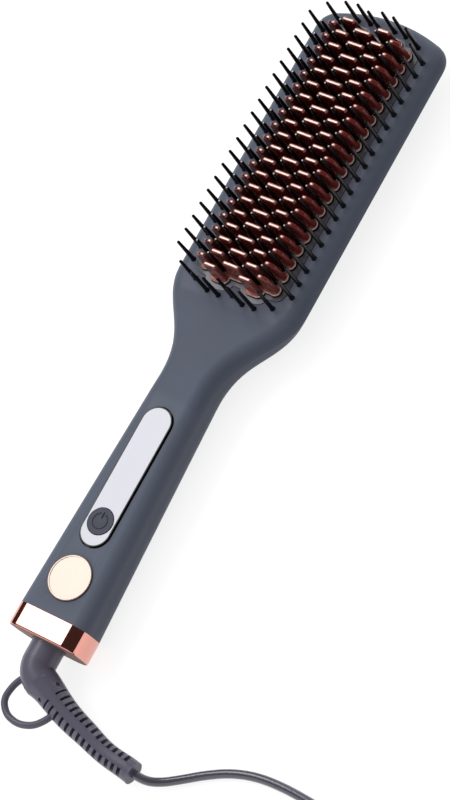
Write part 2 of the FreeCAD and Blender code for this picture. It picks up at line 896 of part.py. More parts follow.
def control_board():
    board = box(-board_half_width, board_half_width, board_low_y, board_high_y, board_low_z, board_top_z)
    holes = [rod(x, y, board_low_z - cut_over, board_top_z + cut_over, screw_radius + screw_fit)
             for x, y in board_post_places()]
    return board.cut(holes)


def board_screws():
    screws = []
    for x, y in board_post_places():
        head = rod(x, y, board_top_z, board_top_z + screw_head_height, screw_head_radius)
        shank = rod(x, y, board_low_z - screw_grip + screw_fit, board_top_z, screw_radius)
        screws.append(head.fuse(shank).removeSplitter())
    return Part.makeCompound(screws)


def display_module():
    top = grip_under_z - window_lip_thickness - display_gap
    half_y = display_length / 2
    return box(-display_half_width, display_half_width, display_centre_y - half_y, display_centre_y + half_y,
               board_top_z, top)


# Parts soldered under the board, spread along it from the cord end
def board_components():
    middle_y = (board_low_y + board_high_y) / 2
    cap_y = middle_y - capacitor_length
    cap_start = vec(0, cap_y - capacitor_length / 2, board_low_z - capacitor_radius)
    capacitor = Part.makeCylinder(capacitor_radius, capacitor_length, cap_start, axis_y)
    triac = box(-triac_width / 2, triac_width / 2,
                middle_y + triac_length / 2, middle_y + triac_length * 3 / 2,
                board_low_z - triac_height, board_low_z)
    relay = box(-relay_width / 2, relay_width / 2,
                middle_y - relay_length / 3, middle_y + relay_length / 4,
                board_low_z - relay_height, board_low_z)
    return Part.makeCompound([capacitor, triac, relay])


def badge_disc():
    low = grip_face_z + badge_proud - badge_thickness
    top = grip_face_z + badge_proud
    disc = rod(0, badge_y, low, top, badge_radius)
    return disc.cut(rod(0, badge_y, top - badge_dish, top + cut_over, badge_radius - badge_rim))


# Cross-section of the grip at its end: flat top, round corners and the back levels below
def grip_section(y, inset):
    half = grip_width / 2 - inset
    top = grip_face_z - inset
    radius = edge_round - inset
    bend = radius * (1 - math.sqrt(2) / 2)
    side = []
    for height, _, _, grip, _ in level_shares:
        side.append(vec(grip * grip_width / 2 - inset, y, inset + height * (parting_z - inset)))
    back = Part.BSplineCurve()
    back.interpolate(side)
    right = [
        line(vec(half - radius, y, top), vec(0, y, top)),
        Part.Arc(vec(half, y, top - radius), vec(half - bend, y, top - bend),
                 vec(half - radius, y, top)).toShape(),
        line(vec(half, y, parting_z), vec(half, y, top - radius)),
        back.toShape(),
        line(side[-1], vec(0, y, inset)),
    ]
    edges = right + [mirrored(e) for e in right]
    return Part.Face(Part.Wire(Part.__sortEdges__(edges)))


def end_cap():
    skin = grip_section(cap_end_y, -cap_proud).extrude(vec(0, cap_length, 0))
    floor = box(-grip_width, grip_width, cap_end_y - cut_over, grip_end_y + cut_over, 0, 2 * grip_face_z)
    skin = skin.common(floor)
    rim = [e for e in skin.Edges if e.BoundBox.YMax < cap_end_y + cap_edge_round / 2]
    skin = skin.makeFillet(cap_edge_round, rim)
    hollow = grip_section(cap_end_y + cap_end_wall, cap_wall).extrude(vec(0, cap_length, 0))
    outer_fit = wall + spigot_gap
    spigot_y = grip_end_y - spigot_length
    spigot = grip_section(spigot_y, outer_fit).extrude(vec(0, 2 * spigot_length, 0))
    bore_length = 2 * spigot_length + cut_over
    spigot_bore = grip_section(spigot_y, outer_fit + spigot_wall).extrude(vec(0, bore_length, 0))
    bore = rod_along_y(cap_end_y - cut_over, cap_end_y + cap_end_wall + cut_over, neck_radius + swivel_gap)
    return skin.cut(hollow).fuse(spigot.cut(spigot_bore)).removeSplitter().cut(bore)


def hub_outer_y():
    return cap_end_y + cap_end_wall + hub_flange_gap


def hub_inner_y():
    return hub_outer_y() + hub_flange_thickness


def swivel_hub():
    flange = rod_along_y(hub_outer_y(), hub_inner_y(), hub_flange_radius)
    stem = rod_along_y(hub_outer_y() - hub_stem_length, hub_outer_y(), hub_stem_radius)
    bore = rod_along_y(hub_outer_y() - hub_stem_length - cut_over, hub_inner_y() + cut_over, hub_bore_radius)
    return flange.fuse(stem).removeSplitter().cut(bore)


def slip_rings():
    rings = []
    for radius in (inner_ring_radius, outer_ring_radius):
        ring = rod_along_y(hub_inner_y(), hub_inner_y() + ring_thickness, radius + ring_width / 2)
        rings.append(ring.cut(rod_along_y(hub_inner_y() - cut_over, hub_inner_y() + ring_thickness + cut_over,
                                          radius - ring_width / 2)))
    return Part.makeCompound(rings)


def contact_tip_y():
    return hub_inner_y() + ring_thickness + contact_gap


def contact_places():
    return [(0, swivel_z - inner_ring_radius), (0, swivel_z + outer_ring_radius)]


def contact_pins():
    pins = []
    for x, z in contact_places():
        pins.append(rod_along_y(contact_tip_y(), contact_tip_y() + contact_length, contact_radius, x, z))
    return Part.makeCompound(pins)


def block_low_y():
    return contact_tip_y() + contact_length - block_thickness / 3


def contact_block():
    low_y = block_low_y()
    foot_top_z = block_low_z + block_thickness / 2
    heel_y = grip_end_y + spigot_length + swivel_gap
    block = box(-block_half_width, block_half_width, low_y, low_y + block_thickness, block_low_z, block_top_z)
    foot = box(-block_half_width, block_half_width, low_y, heel_y + block_thickness, block_low_z, foot_top_z)
    heel = box(-block_half_width, block_half_width, heel_y, heel_y + block_thickness, wall, foot_top_z)
    holes = [rod_along_y(low_y - cut_over, contact_tip_y() + contact_length, contact_radius, x, z)
             for x, z in contact_places()]
    return block.multiFuse([foot, heel]).removeSplitter().cut(holes)


# Tube along straight runs joined by tangent arcs, each as large as its two runs allow
def route_edges(points, name):
    arc_share = 0.45
    points = [vec(*p) for p in points]
    edges = []
    radii = []
    start = points[0]
    for before, corner, after in zip(points, points[1:], points[2:]):
        back = before - corner
        ahead = after - corner
        reach = arc_share * min(back.Length, ahead.Length)
        turn = math.pi - back.getAngle(ahead)
        radii.append(reach / math.tan(turn / 2))
        back.normalize()
        ahead.normalize()
        enter = corner + back * reach
        leave = corner + ahead * reach
        edges.append(line(start, enter))
        edges.append(arc_along(enter, -back, leave))
        start = leave
    edges.append(line(start, points[-1]))
    print(name, "radii", [round(r, 1) for r in radii])
    return edges


def tube(edges, radius, name):
    wire = Part.Wire(edges)
    start = edges[0].valueAt(edges[0].FirstParameter)
    heading = edges[0].tangentAt(edges[0].FirstParameter)
    ring = Part.Wire(Part.makeCircle(radius, start, heading))
    solid = wire.makePipeShell([ring], True, False)
    section = math.pi * radius ** 2
    ratio = solid.Volume / (section * wire.Length)
    print(name, "length", round(wire.Length, 1), "volume ratio", round(ratio, 4))
    return solid


def cone_between(a, b, radius_a, radius_b):
    run = b - a
    return Part.makeCone(radius_a, radius_b, run.Length, a, run)


def heading_of(yaw, drop):
    level = math.cos(math.radians(drop))
    return vec(level * math.cos(math.radians(yaw)), level * math.sin(math.radians(yaw)),
               -math.sin(math.radians(drop)))


elbow = vec(0, cap_end_y - elbow_reach, swivel_z)


# Corner points of the sleeve, from the elbow to its tip
def sleeve_corners():
    corners = [elbow]
    for run, yaw, drop in zip(sleeve_runs, sleeve_yaw_degrees, sleeve_drop_degrees):
        corners.append(corners[-1] + heading_of(yaw, drop) * run)
    return corners


# Distance from the elbow's corner to both ends of its bend
def bend_reach():
    turn = (-axis_y).getAngle(heading_of(sleeve_yaw_degrees[0], sleeve_drop_degrees[0]))
    return bend_radius * math.tan(turn / 2)


# Round sections of the sleeve, from the bend to the tip: place, heading and radius
def sleeve_sections():
    corners = sleeve_corners()
    headings = [heading_of(yaw, drop) for yaw, drop in zip(sleeve_yaw_degrees, sleeve_drop_degrees)]
    start = corners[0] + headings[0] * bend_reach()
    sections = [(start, headings[0], neck_radius)]
    for i, (heading, end) in enumerate(zip(headings, corners[1:])):
        following = headings[min(i + 1, len(headings) - 1)]
        sections.append(((start + end) / 2, heading, sleeve_middle_radii[i]))
        sections.append((end, (heading + following) / 2, sleeve_end_radii[i]))
        start = end
    return sections


def sleeve_point(share):
    middle = Part.BSplineCurve()
    middle.interpolate([place for place, heading, radius in sleeve_sections()])
    along = middle.parameterAtDistance(share * middle.length(), middle.FirstParameter)
    return middle.value(along), vec(*middle.tangent(along)[0])


def spine_direction(heading):
    up = axis_z - heading * axis_z.dot(heading)
    up.normalize()
    return FreeCAD.Rotation(heading, -spine_turn_degrees).multVec(up)


# Bar through the sleeve, as long as a slot is wide
def slot_bar(start, heading, across, width, length):
    side = heading.cross(across)
    reach = 2 * neck_radius
    half = width / 2
    corners = [start + across * a + side * b for a, b in
               ((reach, half), (reach, -half), (-reach, -half), (-reach, half), (reach, half))]
    return Part.Face(Part.makePolygon(corners)).extrude(heading * length)


# Slots between the ribs: rings that leave the core, the spines above and below, and a rail on both sides
def rib_slots():
    slots = []
    for i in range(rib_count):
        step = i / (rib_count - 1)
        centre, heading = sleeve_point(rib_first_share + (rib_last_share - rib_first_share) * step)
        length = slot_thin + (slot_wide - slot_thin) * math.sqrt(step)
        start = centre - heading * (length / 2)
        ring = Part.makeCylinder(2 * neck_radius, length, start, heading)
        core = Part.makeCylinder(core_radius, length, start, heading)
        up = spine_direction(heading)
        spines = slot_bar(start, heading, up, spine_width, length)
        rails = slot_bar(start, heading, heading.cross(up), rail_width, length)
        slots.append(ring.cut([core, spines, rails]))
    return slots


def boot_dots():
    centre, heading = sleeve_point(rib_first_share - (rib_last_share - rib_first_share) / (rib_count - 1))
    up = spine_direction(heading)
    side = heading.cross(up)
    dots = []
    for sense in (-1, 1):
        aim = up + side * (sense * dot_reach / core_radius)
        aim.normalize()
        foot = centre + aim * (neck_radius - dot_depth)
        dots.append(Part.makeCylinder(dot_radius, 2 * neck_radius, foot, aim))
    return dots


def loop_points():
    return [elbow + vec(x * loop_width, -y * loop_reach, -z * loop_drop) for x, y, z in loop_shares]


def strain_relief_boot():
    sections = sleeve_sections()
    bend_start = elbow + axis_y * bend_reach()
    bend = [line(vec(0, hub_outer_y(), swivel_z), bend_start), arc_along(bend_start, -axis_y, sections[0][0])]
    rings = [Part.Wire(Part.makeCircle(radius, place, heading)) for place, heading, radius in sections]
    sleeve = Part.makeLoft(rings, True, False)
    boot = tube(bend, neck_radius, "boot bend").fuse(sleeve)
    boot = boot.cut(rib_slots() + boot_dots())
    boot = boot.fuse(tube(route_edges(loop_points(), "hang loop"), loop_radius, "hang loop"))
    stem = rod_along_y(hub_outer_y() - hub_stem_length, hub_outer_y(), hub_stem_radius)
    return boot.cut(stem)


def cord_lead():
    tip = sleeve_corners()[-1]
    heading = heading_of(sleeve_yaw_degrees[-1], sleeve_drop_degrees[-1])
    route = [tip, tip + heading * exit_run] + list(lead_route)
    return tube(route_edges(route, "cord lead"), cord_radius, "cord lead")


def coil_centre():
    return vec(coil_centre_x, lead_route[-1][1] - coil_outer_radius, lead_route[-1][2])


# Points of the coil each quarter turn: in and out at a steady rate, a layer up where it turns back
def coil_points():
    centre = coil_centre()
    points = []
    for i in range(coil_layers * coil_layer_quarters + 1):
        layer, step = divmod(i, coil_layer_quarters)
        inward = step if layer % 2 == 0 else coil_layer_quarters - step
        radius = coil_outer_radius - inward * coil_pitch / 4
        rise = layer
        if step == 0 and 0 < i < coil_layers * coil_layer_quarters:
            rise = layer - 0.5
        if i == coil_layers * coil_layer_quarters:
            rise = coil_layers - 1
        angle = math.pi / 2 - i * math.pi / 2
        points.append(centre + vec(radius * math.cos(angle), radius * math.sin(angle), rise * coil_pitch))
    return points


def coil_tangents(points):
    ahead = vec(1, 0, 0)
    tangents = [ahead]
    for before, here, after in zip(points, points[1:], points[2:]):
        chord = after - before
        chord.normalize()
        tangents.append(chord)
    return tangents + [ahead]


# Two tangent arcs between two points with given headings
def biarc(a, heading_a, b, heading_b):
    span = b - a
    total = heading_a + heading_b
    spread = 2 * (1 - heading_a.dot(heading_b))
    along = span.dot(total)
    reach = (math.sqrt(along ** 2 + spread * span.dot(span)) - along) / spread
    joint = (a + b + (heading_a - heading_b) * reach) / 2
    first = arc_along(a, heading_a, joint)
    second = arc_along(b, -heading_b, joint)
    return [first, second.reversed()]


def coil_edges():
    points = coil_points()
    headings = coil_tangents(points)
    straight = headings[0] * (2 * cord_radius)
    edges = [line(points[0] - straight, points[0])]
    for i in range(len(points) - 1):
        first, second = biarc(points[i], headings[i], points[i + 1], headings[i + 1])
        edges.append(first)
        edges.append(second)
    edges.append(line(points[-1], points[-1] + straight))
    return edges


# Least clear gap between turns, on points along the coil more than a quarter turn apart
def coil_gap(edges):
    samples = []
    along = 0.0
    for edge in edges:
        count = 6
        for k in range(count):
            share = k / count
            spot = edge.valueAt(edge.FirstParameter + share * (edge.LastParameter - edge.FirstParameter))
            samples.append((along + share * edge.Length, spot))
        along += edge.Length
    apart = coil_outer_radius
    least = along
    for i, (place, spot) in enumerate(samples):
        for other_place, other in samples[i + 1:]:
            if abs(other_place - place) > apart:
                least = min(least, (other - spot).Length)
    return least - 2 * cord_radius


def cord_coil():
    edges = coil_edges()
    print("cord coil least gap", round(coil_gap(edges), 2))
    return tube(edges, cord_radius, "cord coil")


# Band round all the turns on the far side of the coil
def cord_tie():
    centre = coil_centre()
    inner = coil_outer_radius - coil_layer_quarters * coil_pitch / 4 - cord_radius - tie_gap
    outer = coil_outer_radius + cord_radius + tie_gap
    low = centre.z - cord_radius - tie_gap
    high = centre.z + (coil_layers - 1) * coil_pitch + cord_radius + tie_gap
    y0 = centre.y - outer
    y1 = centre.y - inner
    x0 = centre.x - tie_width / 2
    x1 = centre.x + tie_width / 2
    skin = box(x0, x1, y0 - tie_thickness, y1 + tie_thickness, low - tie_thickness, high + tie_thickness)
    return skin.cut(box(x0 - cut_over, x1 + cut_over, y0, y1, low, high))


def plug_start():
    return vec(*tail_route[-1])


def plug_heading():
    heading = plug_start() - vec(*tail_route[-2])
    heading.z = 0
    heading.normalize()
    return heading


def plug_side():
    return axis_z.cross(plug_heading())


def plug_block(along, width, z0, z1, length, shift):
    start = plug_start() + plug_heading() * along + plug_side() * shift
    side = plug_side() * (width / 2)
    base = vec(start.x, start.y, z0)
    corners = [base + side, base - side, base - side + plug_heading() * length,
               base + side + plug_heading() * length, base + side]
    return Part.Face(Part.makePolygon(corners)).extrude(vec(0, 0, z1 - z0))


def plug_body():
    block = plug_block(plug_neck_length, plug_width, 0, plug_height, plug_length, 0)
    rounded = [e for e in block.Edges if abs(e.tangentAt(e.FirstParameter).dot(plug_heading())) > abs(
        e.tangentAt(e.FirstParameter).dot(plug_side() + axis_z))]
    block = block.makeFillet(plug_round, rounded)
    end = plug_start() + plug_heading() * (plug_neck_length + plug_round)
    neck = cone_between(plug_start(), end, cord_radius + plug_neck_radius / 4, plug_neck_radius)
    body = block.fuse(neck).removeSplitter()
    return body.cut(blades(0.0))


def blades(gap):
    z = plug_start().z
    far = plug_neck_length + plug_length - blade_root
    solids = []
    for sense in (-1, 1):
        solids.append(plug_block(far, blade_thickness + gap, z - blade_width / 2, z + blade_width / 2,
                                 blade_root + blade_length, sense * blade_spacing / 2))
    return solids


def plug_pins():
    return Part.makeCompound(blades(0.0))


# Insulated wires: one along the given route and its mirror image
def wire_pair(route, name):
    wire = tube(route_edges(route, name), lead_radius, name)
    return Part.makeCompound([wire, mirrored(wire)])


# Wires out of the heater's lower end, then down to the level of the board's underside
def lead_slope(x):
    gate_y = opening_low_y - tray_end_margin
    foot_y = gate_y - lead_slope_share * (gate_y - board_high_y)
    gate_z = (element_low_z + flange_low_z) / 2
    foot_z = board_low_z - lead_radius - lead_gap
    return [(x, gate_y, gate_z), (x, foot_y, foot_z)]


def heater_leads():
    x = triac_width / 2 + lead_radius + lead_gap
    gate, foot = lead_slope(x)
    start = (element_x, field_centre_y - element_length / 2 - lead_radius, gate[2])
    return wire_pair([start, gate, foot, (x, board_high_y - lead_tail, foot[2])], "heater leads")


def sensor_leads():
    x = sensor_width / 4
    gate, foot = lead_slope(x)
    start = (x, sensor_y - sensor_length / 2, gate[2])
    return wire_pair([start, gate, foot, (x, board_high_y, foot[2])], "sensor leads")


def mains_leads():
    start_y = block_low_y() + block_thickness + lead_radius
    z = block_top_z - block_thickness
    x = block_half_width / 2
    middle_y = (start_y + board_low_y) / 2
    route = ((x, start_y, z - wall), (x, middle_y, z), (x, board_low_y, board_top_z + lead_radius))
    return wire_pair(route, "mains leads")


def export(name, shape):
    shape.exportStep("parts/" + name + ".step")
    print(name, len(shape.Solids), "solids", round(shape.Volume, 1), "valid", shape.isValid())


def main():
    os.makedirs("parts", exist_ok=True)
    pieces = {
        "front_housing": front_housing,
        "rear_housing": rear_housing,
        "housing_screws": housing_screws,
        "heater_plate": heater_plate,
        "plate_bezel": plate_bezel,
        "heating_elements": heating_elements,
        "mica_sheet": mica_sheet,
        "heater_tray": heater_tray,
        "heater_screws": heater_screws,
        "temperature_sensor": temperature_sensor,
        "thermal_fuse": thermal_fuse,
        "heater_leads": heater_leads,
        "sensor_leads": sensor_leads,
        "mains_leads": mains_leads,
        "control_board": control_board,
        "board_components": board_components,
        "board_screws": board_screws,
        "display_module": display_module,
        "display_window": display_window,
        "power_button": power_button,
        "switch_plunger": switch_plunger,
        "tact_switch": tact_switch,
        "snap_dome": snap_dome,
        "badge_disc": badge_disc,
        "end_cap": end_cap,
        "contact_block": contact_block,
        "contact_pins": contact_pins,
        "swivel_hub": swivel_hub,
        "slip_rings": slip_rings,
        "strain_relief_boot": strain_relief_boot,
        "cord_coil": cord_coil,
        "cord_tie": cord_tie,
        "plug_body": plug_body,
        "plug_pins": plug_pins,
    }
    for name, make in pieces.items():
        export(name, make())
    for name, places in pin_rows().items():
        export(name, edge_pin_strip(places))
    for column, name in enumerate(column_names):
        export("inner_pins_" + name, inner_pins(column))
    export("cord_lead", cord_lead())
    export("cord_tail", tube(route_edges(tail_route, "cord tail"), cord_radius, "cord tail"))


main()
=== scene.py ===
import json
import math
import bpy
from mathutils import Matrix, Vector


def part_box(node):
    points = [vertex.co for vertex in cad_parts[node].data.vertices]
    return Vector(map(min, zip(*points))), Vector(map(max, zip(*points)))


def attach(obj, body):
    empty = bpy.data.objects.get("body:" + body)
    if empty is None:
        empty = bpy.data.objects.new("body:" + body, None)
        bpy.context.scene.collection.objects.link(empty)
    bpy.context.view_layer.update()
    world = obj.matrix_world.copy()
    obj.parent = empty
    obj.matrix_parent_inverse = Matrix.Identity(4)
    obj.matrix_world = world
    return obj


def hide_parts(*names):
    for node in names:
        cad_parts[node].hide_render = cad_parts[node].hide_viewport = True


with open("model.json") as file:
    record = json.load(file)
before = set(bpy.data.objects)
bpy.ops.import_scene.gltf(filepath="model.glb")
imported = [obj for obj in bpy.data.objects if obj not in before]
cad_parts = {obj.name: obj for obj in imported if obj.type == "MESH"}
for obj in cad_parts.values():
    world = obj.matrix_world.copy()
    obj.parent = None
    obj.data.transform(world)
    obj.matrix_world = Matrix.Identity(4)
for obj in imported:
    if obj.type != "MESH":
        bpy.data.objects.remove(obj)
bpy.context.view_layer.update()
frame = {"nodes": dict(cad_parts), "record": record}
scene = bpy.context.scene
print("frame loaded")


def linear(code):
    values = [int(code[i:i + 2], 16) / 255 for i in (0, 2, 4)]
    return [v / 12.92 if v <= 0.04045 else ((v + 0.055) / 1.055) ** 2.4 for v in values] + [1.0]


# Camera: the photograph's own view
cameraView = {
    "place": (0.61634, -0.24421, 1.01794),
    "right": (0.79486, 0.47944, -0.37194),
    "up": (-0.33713, 0.85858, 0.38626),
    "back": (0.50453, -0.18163, 0.84408),
    "lens": 130.67,
    "sensor": 36.0,
    "clipNear": 0.05,
    "clipFar": 50.0,
}


def addCamera(view):
    data = bpy.data.cameras.new("photoCamera")
    data.sensor_fit = "VERTICAL"
    data.sensor_height = view["sensor"]
    data.lens = view["lens"]
    data.clip_start = view["clipNear"]
    data.clip_end = view["clipFar"]
    camera = bpy.data.objects.new("photoCamera", data)
    scene.collection.objects.link(camera)
    turn = Matrix((view["right"], view["up"], view["back"])).transposed().to_4x4()
    camera.matrix_world = Matrix.Translation(view["place"]) @ turn
    scene.camera = camera


addCamera(cameraView)
scene.view_settings.view_transform = "Standard"
print("camera set")


# Node helpers
def freshTree(name):
    material = bpy.data.materials.new(name)
    material.use_nodes = True
    tree = material.node_tree
    shader = tree.nodes["Principled BSDF"]
    return material, tree, shader


def addGroup(tree, group, **inputs):
    node = tree.nodes.new("ShaderNodeGroup")
    node.node_tree = group
    for name, value in inputs.items():
        node.inputs[name].default_value = value
    return node


def mixColours(tree, factor, first, second):
    node = tree.nodes.new("ShaderNodeMix")
    node.data_type = "RGBA"
    tree.links.new(factor, node.inputs["Factor"])
    for socket, value in ((node.inputs[6], first), (node.inputs[7], second)):   # colours A and B
        if isinstance(value, bpy.types.NodeSocket):
            tree.links.new(value, socket)
        else:
            socket.default_value = value
    return node.outputs[2]


def mapRange(tree, source, fromLow, fromHigh, toLow, toHigh):
    node = tree.nodes.new("ShaderNodeMapRange")
    tree.links.new(source, node.inputs["Value"])
    for name, value in (("From Min", fromLow), ("From Max", fromHigh), ("To Min", toLow), ("To Max", toHigh)):
        node.inputs[name].default_value = value
    return node.outputs["Result"]


def addBump(tree, shader, height, strength, distance):
    node = tree.nodes.new("ShaderNodeBump")
    node.inputs["Strength"].default_value = strength
    node.inputs["Distance"].default_value = distance
    tree.links.new(height, node.inputs["Height"])
    tree.links.new(node.outputs["Normal"], shader.inputs["Normal"])


# A group from two dictionaries: socket name to "Float" or "Vector"
def newGroup(name, inputs, outputs):
    group = bpy.data.node_groups.new(name, "ShaderNodeTree")
    for side, sockets in (("INPUT", inputs), ("OUTPUT", outputs)):
        for label, kind in sockets.items():
            group.interface.new_socket(name=label, in_out=side, socket_type="NodeSocket" + kind)
    start = group.nodes.new("NodeGroupInput")
    end = group.nodes.new("NodeGroupOutput")
    return group, start, end


# Fine moulded grain with a slow drift of tone
grainShape = {"fineDetail": 3.0, "slowDetail": 2.0, "slowShare": 0.012}


def makeGrainGroup(shape):
    group, start, end = newGroup("mouldedGrain", {"Scale": "Float"}, {"Height": "Float", "Tone": "Float"})
    place = group.nodes.new("ShaderNodeTexCoord")
    fine = group.nodes.new("ShaderNodeTexNoise")
    fine.inputs["Detail"].default_value = shape["fineDetail"]
    slow = group.nodes.new("ShaderNodeTexNoise")
    slow.inputs["Detail"].default_value = shape["slowDetail"]
    ratio = group.nodes.new("ShaderNodeMath")
    ratio.operation = "MULTIPLY"
    ratio.inputs[1].default_value = shape["slowShare"]
    group.links.new(place.outputs["Object"], fine.inputs["Vector"])
    group.links.new(place.outputs["Object"], slow.inputs["Vector"])
    group.links.new(start.outputs["Scale"], fine.inputs["Scale"])
    group.links.new(start.outputs["Scale"], ratio.inputs[0])
    group.links.new(ratio.outputs[0], slow.inputs["Scale"])
    group.links.new(fine.outputs["Fac"], end.inputs["Height"])
    group.links.new(slow.outputs["Fac"], end.inputs["Tone"])
    return group


# Rub and painted highlight along convex edges, and painted shade in concave corners, between two values of
# pointiness
edgeShape = {"edge": (0.52, 0.62), "hollow": (0.48, 0.38)}


def makeEdgeGroup(shape):
    group, _, end = newGroup("edgeRub", {}, {"EdgeRubAndHighlight": "Float", "HollowShade": "Float"})
    place = group.nodes.new("ShaderNodeNewGeometry")
    edge = mapRange(group, place.outputs["Pointiness"], *shape["edge"], 0.0, 1.0)
    hollow = mapRange(group, place.outputs["Pointiness"], *shape["hollow"], 0.0, 1.0)
    group.links.new(edge, end.inputs["EdgeRubAndHighlight"])
    group.links.new(hollow, end.inputs["HollowShade"])
    return group


# Fine turned rings about an upright axis
def makeRingGroup():
    group, start, end = newGroup("turnedRings", {"Centre": "Vector", "Rings": "Float"}, {"Height": "Float"})
    place = group.nodes.new("ShaderNodeTexCoord")
    shift = group.nodes.new("ShaderNodeVectorMath")
    shift.operation = "SUBTRACT"
    flat = group.nodes.new("ShaderNodeVectorMath")
    flat.operation = "MULTIPLY"
    flat.inputs[1].default_value = (1, 1, 0)
    length = group.nodes.new("ShaderNodeVectorMath")
    length.operation = "LENGTH"
    turns = group.nodes.new("ShaderNodeMath")
    turns.operation = "MULTIPLY"
    wave = group.nodes.new("ShaderNodeMath")
    wave.operation = "SINE"
    group.links.new(place.outputs["Object"], shift.inputs[0])
    group.links.new(start.outputs["Centre"], shift.inputs[1])
    group.links.new(shift.outputs[0], flat.inputs[0])
    group.links.new(flat.outputs[0], length.inputs[0])
    group.links.new(length.outputs["Value"], turns.inputs[0])
    group.links.new(start.outputs["Rings"], turns.inputs[1])
    group.links.new(turns.outputs[0], wave.inputs[0])
    group.links.new(wave.outputs[0], end.inputs["Height"])
    return group


# Drawn streaks: noise stretched along one axis
streakShape = {"scale": 1.0, "detail": 4.0}


def makeStreakGroup(shape):
    group, start, end = newGroup("drawnStreaks", {"Stretch": "Vector"}, {"Height": "Float"})
    place = group.nodes.new("ShaderNodeTexCoord")
    stretch = group.nodes.new("ShaderNodeVectorMath")
    stretch.operation = "MULTIPLY"
    noise = group.nodes.new("ShaderNodeTexNoise")
    noise.inputs["Scale"].default_value = shape["scale"]
    noise.inputs["Detail"].default_value = shape["detail"]
    group.links.new(place.outputs["Object"], stretch.inputs[0])
    group.links.new(start.outputs["Stretch"], stretch.inputs[1])
    group.links.new(stretch.outputs[0], noise.inputs["Vector"])
    group.links.new(noise.outputs["Fac"], end.inputs["Height"])
    return group


# Share of the way between two places along an axis
def makeBandGroup():
    group, start, end = newGroup("axisBand", {"Axis": "Vector", "Low": "Float", "High": "Float"},
                                 {"Share": "Float"})
    place = group.nodes.new("ShaderNodeTexCoord")
    along = group.nodes.new("ShaderNodeVectorMath")
    along.operation = "DOT_PRODUCT"
    climb = group.nodes.new("ShaderNodeMapRange")
    group.links.new(place.outputs["Object"], along.inputs[0])
    group.links.new(start.outputs["Axis"], along.inputs[1])
    group.links.new(along.outputs["Value"], climb.inputs["Value"])
    group.links.new(start.outputs["Low"], climb.inputs["From Min"])
    group.links.new(start.outputs["High"], climb.inputs["From Max"])
    group.links.new(climb.outputs["Result"], end.inputs["Share"])
    return group


# Distance from the spine of a long rounded shape that lies along Y
def makeSpineGroup():
    group, start, end = newGroup("spineDistance", {"Centre": "Vector", "Half": "Vector"},
                                 {"Distance": "Float"})
    place = group.nodes.new("ShaderNodeTexCoord")
    link = place.outputs["Object"]
    steps = (("SUBTRACT", "Centre"), ("ABSOLUTE", None), ("SUBTRACT", "Half"), ("MAXIMUM", None),
             ("LENGTH", None))
    for operation, source in steps:
        step = group.nodes.new("ShaderNodeVectorMath")
        step.operation = operation
        group.links.new(link, step.inputs[0])
        if source:
            group.links.new(start.outputs[source], step.inputs[1])
        link = step.outputs["Value" if operation == "LENGTH" else "Vector"]
    group.links.new(link, end.inputs["Distance"])
    return group


grainGroup = makeGrainGroup(grainShape)
edgeGroup = makeEdgeGroup(edgeShape)
ringGroup = makeRingGroup()
streakGroup = makeStreakGroup(streakShape)
bandGroup = makeBandGroup()
spineGroup = makeSpineGroup()
print("node groups made")


# 0 below a band and 1 above it; start and full are depths under the node's end along the axis
def bandShare(tree, node, band):
    axis = Vector(band.get("axis", (0, 0, 1)))
    end = max(axis.dot(corner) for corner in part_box(node))
    climb = addGroup(tree, bandGroup, Axis=axis, Low=end - band["start"], High=end - band["full"])
    return climb.outputs["Share"]


# Tones that change at a depth under the node's end: painted highlights and painted shade
def paintLightAndShadeBands(tree, colour, look):
    for band in look.get("bands", []):
        below = linear(band["below"]) if "below" in band else colour
        above = linear(band["above"]) if "above" in band else colour
        colour = mixColours(tree, bandShare(tree, look["node"], band), below, above)
    return colour


# A border of another colour round a long rounded node; on the window it is a painted shade line in the gap
# round it
def paintRim(tree, colour, look):
    rim = look["rim"]
    low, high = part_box(look["node"])
    size = high - low
    outer = size.x / 2
    radius = outer - rim.get("lip", 0.0)   # a lip lies under the housing
    centre = (low + high) / 2
    half = (0.0, size.y / 2 - outer, size.z)   # no distance counts in height
    spine = addGroup(tree, spineGroup, Centre=centre, Half=half)
    share = mapRange(tree, spine.outputs["Distance"], radius - rim["start"], radius - rim["full"], 0.0, 1.0)
    return mixColours(tree, share, colour, linear(rim["colour"]))


noiseSpan = {"tone": (0.35, 0.65), "gloss": (0.3, 0.7)}   # the part of the noise that each one uses


# Roughness that drifts with a noise
def driftRoughness(tree, noise, look):
    rough, drift = look["roughness"], look["roughDrift"]
    return mapRange(tree, noise, *noiseSpan["gloss"], rough - drift, rough + drift)


# A moulded or coated surface: grain, drift of tone, edges lightened as rub and painted highlight, painted
# shade in hollows
def surfaceMaterial(name, look):
    material, tree, shader = freshTree(name)
    grain = addGroup(tree, grainGroup, Scale=look["grainScale"])
    edges = addGroup(tree, edgeGroup)
    drift = mapRange(tree, grain.outputs["Tone"], *noiseSpan["tone"], 0.0, 1.0)
    base = mixColours(tree, drift, linear(look["dark"]), linear(look["light"]))
    # convex edges lightened: partly rub, partly painted highlight
    rubbedAndHighlit = mixColours(tree, edges.outputs["EdgeRubAndHighlight"], base, linear(look["edge"]))
    # concave corners darkened: painted shade
    colour = mixColours(tree, edges.outputs["HollowShade"], rubbedAndHighlit, linear(look["hollow"]))
    colour = paintLightAndShadeBands(tree, colour, look)
    if "rim" in look:
        colour = paintRim(tree, colour, look)
    tree.links.new(colour, shader.inputs["Base Color"])
    gloss = driftRoughness(tree, grain.outputs["Tone"], look)
    tree.links.new(gloss, shader.inputs["Roughness"])
    addBump(tree, shader, grain.outputs["Height"], look["bump"], look["bumpDepth"])
    for socket, value in look.get("sockets", {}).items():
        shader.inputs[socket].default_value = value
    return material


